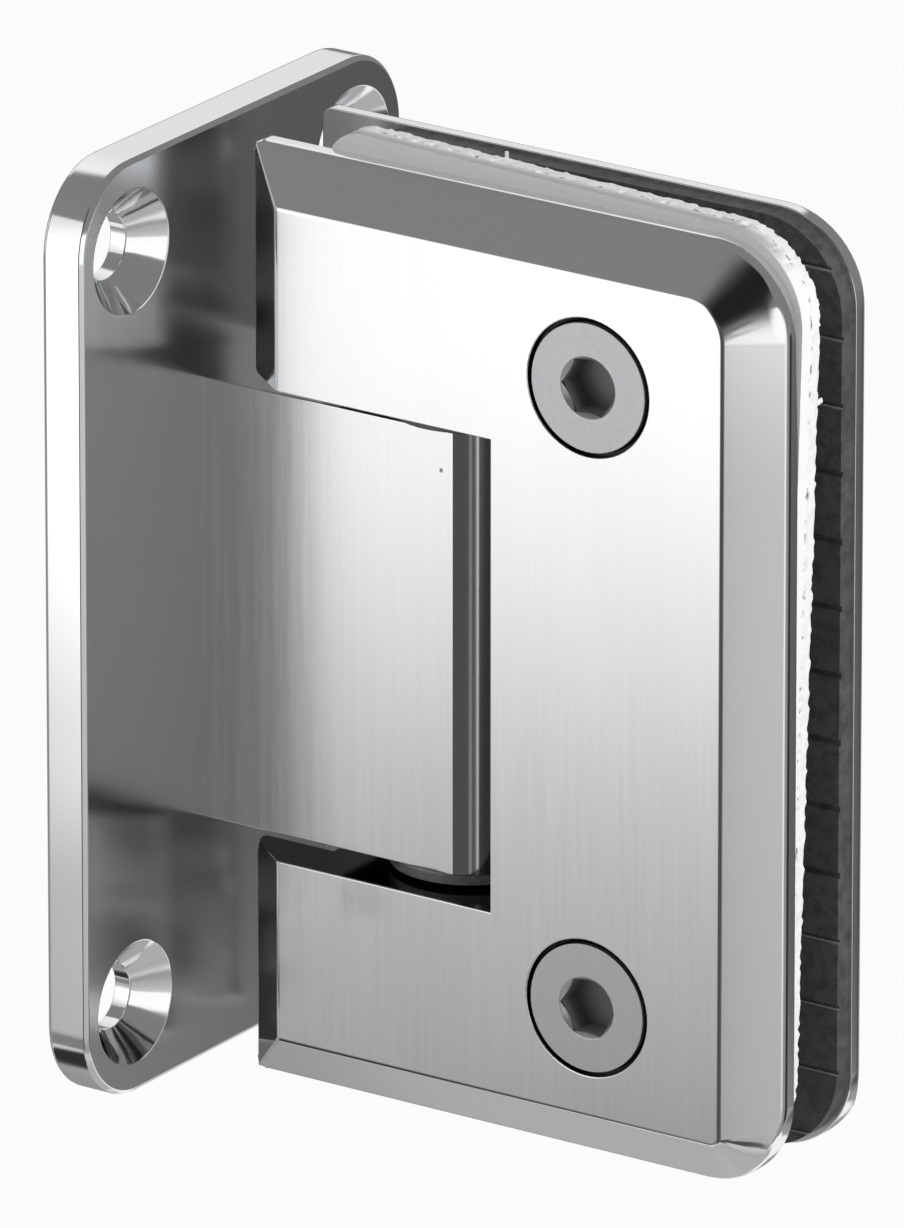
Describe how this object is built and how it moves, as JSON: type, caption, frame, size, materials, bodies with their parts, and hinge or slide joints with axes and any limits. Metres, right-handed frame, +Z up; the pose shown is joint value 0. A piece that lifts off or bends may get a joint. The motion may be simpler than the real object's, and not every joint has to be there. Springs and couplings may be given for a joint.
{
  "type": "wall-to-glass door hinge",
  "caption": "Offset-free wall-to-glass hinge: countersunk wall plate with a round-nosed knuckle, and a bevelled glass clamp that swings on a sprung square pin.",
  "frame": {"origin": "middle of the wall plate's back face, at mid height", "axes": "+X out from the wall, +Z up along the pivot axis, +Y away from the clamp's screw side"},
  "size_m": [0.0683, 0.051, 0.0919],
  "materials": {
    "bracket_satin": "satin, brushed up and down",
    "leaf_satin": "satin faces brushed up and down, polished bevels",
    "screw_satin": "fine turned satin",
    "plunger_steel": "ground",
    "pin_steel": "ground",
    "spring_wire": "drawn wire",
    "plug_steel": "blackened",
    "bush_polymer": "smooth grey",
    "sleeve_polymer": "natural",
    "gasket_pale": "matt, pale",
    "gasket_black": "matt, black"
  },
  "bodies": {
    "bracket": {"wall_bracket": "bracket_satin", "upper_bush": "bush_polymer", "lower_bush": "bush_polymer", "upper_spring": "spring_wire", "lower_spring": "spring_wire", "upper_spring_plug": "plug_steel", "lower_spring_plug": "plug_steel"},
    "clamp": {"front_leaf": "leaf_satin", "back_leaf": "leaf_satin", "pivot_pin": "pin_steel", "upper_lock_screw": "plug_steel", "lower_lock_screw": "plug_steel", "upper_clamp_screw": "screw_satin", "lower_clamp_screw": "screw_satin", "upper_sleeve": "sleeve_polymer", "lower_sleeve": "sleeve_polymer", "front_gasket": "gasket_pale", "back_gasket": "gasket_black"},
    "upper_plunger": {"upper_plunger": "plunger_steel"},
    "lower_plunger": {"lower_plunger": "plunger_steel"}
  },
  "joints": [
    {"name": "door_swing", "type": "hinge", "parent": "bracket", "child": "clamp", "pos_m": [0.0295, 0, 0], "axis": [0, 0, 1], "range_deg": [-90, 90]},
    {"name": "upper_plunger_slide", "type": "slide", "parent": "bracket", "child": "upper_plunger", "axis": [1, 0, 0], "range_m": [0, 0.00085], "stiffness_N_per_m": 2000, "springref_m": 0.00085, "deforming": ["upper_spring"]},
    {"name": "lower_plunger_slide", "type": "slide", "parent": "bracket", "child": "lower_plunger", "axis": [1, 0, 0], "range_m": [0, 0.00085], "stiffness_N_per_m": 2000, "springref_m": 0.00085, "deforming": ["lower_spring"]}
  ]
}
